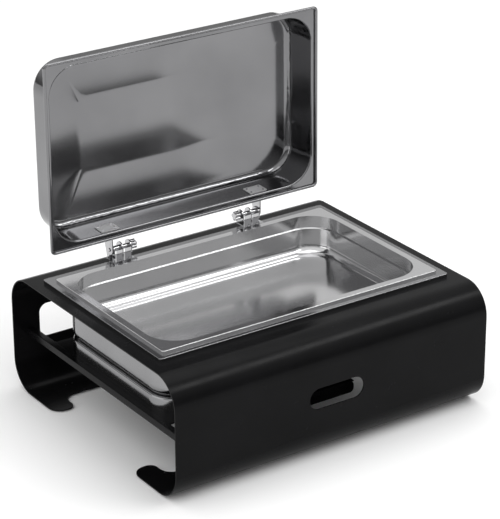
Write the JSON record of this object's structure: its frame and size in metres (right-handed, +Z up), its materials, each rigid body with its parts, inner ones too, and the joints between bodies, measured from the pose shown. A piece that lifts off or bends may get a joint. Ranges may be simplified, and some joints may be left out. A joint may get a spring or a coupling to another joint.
{
  "type": "heated buffet display",
  "caption": "Heated buffet display: black bent-sheet stand with a heater under a steel water pan, a drop-in food pan and a hinged steel lid that stands open.",
  "frame": {"origin": "on the ground, in the middle of the stand", "axes": "+X to the right along the long front, +Y from the front to the hinge side, +Z up"},
  "size_m": [0.6, 0.5, 0.5799],
  "materials": {
    "black_enamel": "semi-gloss black powder coat",
    "pad_rubber": "matte black",
    "pan_steel": "satin stainless",
    "lid_steel": "bright stainless",
    "chrome": "polished",
    "screw_steel": "plain",
    "plain_steel": "galvanised",
    "spreader_aluminium": "mill",
    "element_sheath": "dull oxide",
    "insulation": "pressed mineral fibre",
    "ceramic": "glazed",
    "lead_sleeve": "woven sleeve",
    "box_enamel": "semi-gloss black",
    "black_plastic": "matte",
    "lamp_amber": "clear amber",
    "contact_brass": "bright"
  },
  "bodies": {
    "stand": {"frame_shell": "black_enamel", "foot_pad_front_left": "pad_rubber", "foot_pad_front_right": "pad_rubber", "foot_pad_rear_left": "pad_rubber", "foot_pad_rear_right": "pad_rubber", "shelf_rail_left": "black_enamel", "shelf_rail_right": "black_enamel", "heater_shelf": "black_enamel", "shelf_screws": "screw_steel", "heater_casing": "pan_steel", "heater_base_cover": "plain_steel", "heater_screws": "screw_steel", "heat_spreader": "spreader_aluminium", "heating_element": "element_sheath", "insulation_board": "insulation", "thermal_cutout": "element_sheath", "temperature_sensor": "element_sheath", "element_splice": "ceramic", "heater_leads": "lead_sleeve", "cable_conduit": "plain_steel", "control_box": "box_enamel", "control_panel": "box_enamel", "panel_screws": "screw_steel", "terminal_block": "ceramic", "thermostat_body": "black_plastic", "switch_housing": "black_plastic", "indicator_lamp": "lamp_amber", "appliance_inlet": "black_plastic", "inlet_pins": "contact_brass", "water_pan": "pan_steel", "food_pan": "pan_steel", "hinge_base_left": "chrome", "hinge_screws_left": "chrome", "hinge_pin_left": "chrome", "hinge_barrel_left": "chrome", "hinge_bush_left": "chrome", "hinge_washer_left": "chrome", "hinge_base_right": "chrome", "hinge_screws_right": "chrome", "hinge_pin_right": "chrome", "hinge_barrel_right": "chrome", "hinge_bush_right": "chrome", "hinge_washer_right": "chrome"},
    "lid": {"lid_shell": "lid_steel", "lid_bracket_left": "chrome", "backing_plate_left": "lid_steel", "lid_rivets_left": "chrome", "lid_bracket_right": "chrome", "backing_plate_right": "lid_steel", "lid_rivets_right": "chrome"},
    "hinge_knob_left": {"hinge_knob_left": "chrome"},
    "hinge_knob_right": {"hinge_knob_right": "chrome"},
    "thermostat_knob": {"thermostat_knob": "black_plastic"},
    "switch_rocker": {"switch_rocker": "black_plastic"}
  },
  "joints": [
    {"name": "lid_hinge", "type": "hinge", "parent": "stand", "child": "lid", "pos_m": [0, 0.1845, 0.2328], "axis": [1, 0, 0], "range_deg": [0, 90.6]},
    {"name": "hinge_knob_left_turn", "type": "hinge", "parent": "stand", "child": "hinge_knob_left", "pos_m": [-0.104, 0.1845, 0.2328], "axis": [-1, 0, 0], "range_deg": [-180, 180]},
    {"name": "hinge_knob_right_turn", "type": "hinge", "parent": "stand", "child": "hinge_knob_right", "pos_m": [0.104, 0.1845, 0.2328], "axis": [1, 0, 0], "range_deg": [-180, 180]},
    {"name": "thermostat_turn", "type": "hinge", "parent": "stand", "child": "thermostat_knob", "pos_m": [0.01, 0.235, 0.1161], "axis": [0, -1, 0], "range_deg": [0, 270]},
    {"name": "switch_tilt", "type": "hinge", "parent": "stand", "child": "switch_rocker", "pos_m": [-0.018, 0.2258, 0.1161], "axis": [1, 0, 0], "range_deg": [0, 16]}
  ]
}
